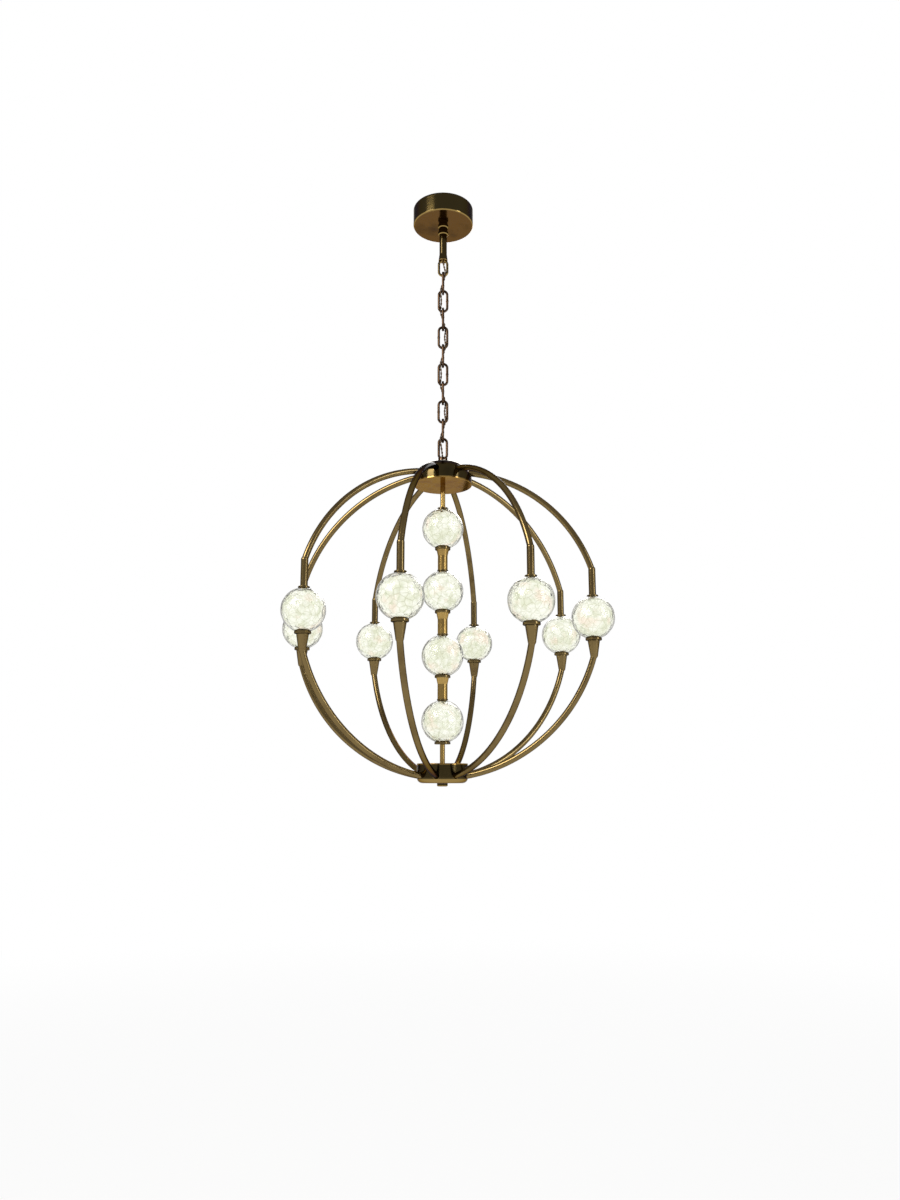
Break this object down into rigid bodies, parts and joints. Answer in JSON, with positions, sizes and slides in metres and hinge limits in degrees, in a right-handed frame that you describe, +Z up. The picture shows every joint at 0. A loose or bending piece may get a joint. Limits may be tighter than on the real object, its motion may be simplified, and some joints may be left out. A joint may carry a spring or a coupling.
{
  "type": "orb chandelier",
  "caption": "Ceiling orb chandelier: a canopy and link chain carry a cage of curved brass arms round a column, with glowing bubble-glass globes on the arms and column.",
  "frame": {"origin": "middle of the two ceiling screw slots, on the ceiling plane and on the hanging axis", "axes": "+Z up to the ceiling, -Y to the front, X along the ceiling bar"},
  "size_m": [0.6348, 0.6348, 1.1787],
  "materials": {
    "zinc_steel": "zinc plated",
    "bronze": "dark bronzed, polished",
    "polished_brass": "polished",
    "hub_core": "cast",
    "chain_bronze": "bronzed",
    "antique_brass": "aged brass, satin",
    "crackle_glass": "bubbled, lit from inside",
    "ceramic": "unglazed",
    "lamp_glass": "frosted, lit",
    "cable": "clear gold sheath"
  },
  "bodies": {
    "ceiling_mount": {"crossbar": "zinc_steel", "crossbar_nipple": "zinc_steel", "nipple_nuts": "zinc_steel", "canopy_loop": "bronze", "supply_cable": "cable"},
    "canopy": {"canopy": "bronze", "canopy_ring": "bronze"},
    "link_01": {"chain_link_01": "chain_bronze"},
    "link_02": {"chain_link_02": "chain_bronze"},
    "link_03": {"chain_link_03": "chain_bronze"},
    "link_04": {"chain_link_04": "chain_bronze"},
    "link_05": {"chain_link_05": "chain_bronze"},
    "link_06": {"chain_link_06": "chain_bronze"},
    "link_07": {"chain_link_07": "chain_bronze"},
    "link_08": {"chain_link_08": "chain_bronze"},
    "link_09": {"chain_link_09": "chain_bronze"},
    "hub_loop": {"hub_loop": "chain_bronze"},
    "orb": {"hub_body": "hub_core", "hub_dome": "bronze", "hub_base_plate": "polished_brass", "foot_body": "hub_core", "foot_cover": "bronze", "foot_top_plate": "polished_brass", "foot_finial": "bronze", "column_stem_upper": "antique_brass", "column_stem_lower": "antique_brass", "column_sleeves": "antique_brass", "globe_carriers": "antique_brass", "globe_caps": "antique_brass", "lamp_holders": "ceramic", "lamps": "lamp_glass", "upper_arm_1": "antique_brass", "upper_arm_2": "antique_brass", "upper_arm_3": "antique_brass", "upper_arm_4": "antique_brass", "upper_arm_5": "antique_brass", "upper_arm_6": "antique_brass", "upper_arm_7": "antique_brass", "upper_arm_8": "antique_brass", "lower_arm_1": "antique_brass", "lower_arm_2": "antique_brass", "lower_arm_3": "antique_brass", "lower_arm_4": "antique_brass", "lower_arm_5": "antique_brass", "lower_arm_6": "antique_brass", "lower_arm_7": "antique_brass", "lower_arm_8": "antique_brass", "ring_globe_1": "crackle_glass", "ring_globe_2": "crackle_glass", "ring_globe_3": "crackle_glass", "ring_globe_4": "crackle_glass", "ring_globe_5": "crackle_glass", "ring_globe_6": "crackle_glass", "ring_globe_7": "crackle_glass", "ring_globe_8": "crackle_glass", "column_globe_1": "crackle_glass", "column_globe_2": "crackle_glass", "column_globe_3": "crackle_glass", "column_globe_4": "crackle_glass"}
  },
  "joints": [
    {"name": "canopy_drop", "type": "slide", "parent": "ceiling_mount", "child": "canopy", "axis": [0, 0, -1], "range_m": [0, 0.03]},
    {"name": "link_01_swing", "type": "hinge", "parent": "ceiling_mount", "child": "link_01", "pos_m": [0, 0, -0.1502], "axis": [1, 0, 0], "range_deg": [-45, 45], "deforming": ["supply_cable"]},
    {"name": "link_02_swing", "type": "hinge", "parent": "link_01", "child": "link_02", "pos_m": [0, 0, -0.1899], "axis": [0, -1, 0], "range_deg": [-45, 45], "deforming": ["supply_cable"]},
    {"name": "link_03_swing", "type": "hinge", "parent": "link_02", "child": "link_03", "pos_m": [0, 0, -0.2296], "axis": [-1, 0, 0], "range_deg": [-45, 45], "deforming": ["supply_cable"]},
    {"name": "link_04_swing", "type": "hinge", "parent": "link_03", "child": "link_04", "pos_m": [0, 0, -0.2693], "axis": [0, 1, 0], "range_deg": [-45, 45], "deforming": ["supply_cable"]},
    {"name": "link_05_swing", "type": "hinge", "parent": "link_04", "child": "link_05", "pos_m": [0, 0, -0.309], "axis": [1, 0, 0], "range_deg": [-45, 45], "deforming": ["supply_cable"]},
    {"name": "link_06_swing", "type": "hinge", "parent": "link_05", "child": "link_06", "pos_m": [0, 0, -0.3487], "axis": [0, -1, 0], "range_deg": [-45, 45], "deforming": ["supply_cable"]},
    {"name": "link_07_swing", "type": "hinge", "parent": "link_06", "child": "link_07", "pos_m": [0, 0, -0.3884], "axis": [-1, 0, 0], "range_deg": [-45, 45], "deforming": ["supply_cable"]},
    {"name": "link_08_swing", "type": "hinge", "parent": "link_07", "child": "link_08", "pos_m": [0, 0, -0.4281], "axis": [0, 1, 0], "range_deg": [-45, 45], "deforming": ["supply_cable"]},
    {"name": "link_09_swing", "type": "hinge", "parent": "link_08", "child": "link_09", "pos_m": [0, 0, -0.4678], "axis": [1, 0, 0], "range_deg": [-45, 45], "deforming": ["supply_cable"]},
    {"name": "hub_loop_swing", "type": "hinge", "parent": "link_09", "child": "hub_loop", "pos_m": [0, 0, -0.5075], "axis": [0, -1, 0], "range_deg": [-45, 45], "deforming": ["supply_cable"]},
    {"name": "orb_turn", "type": "hinge", "parent": "hub_loop", "child": "orb", "pos_m": [0, 0, -0.5517], "axis": [0, 0, 1], "range_deg": [-90, 90]}
  ]
}
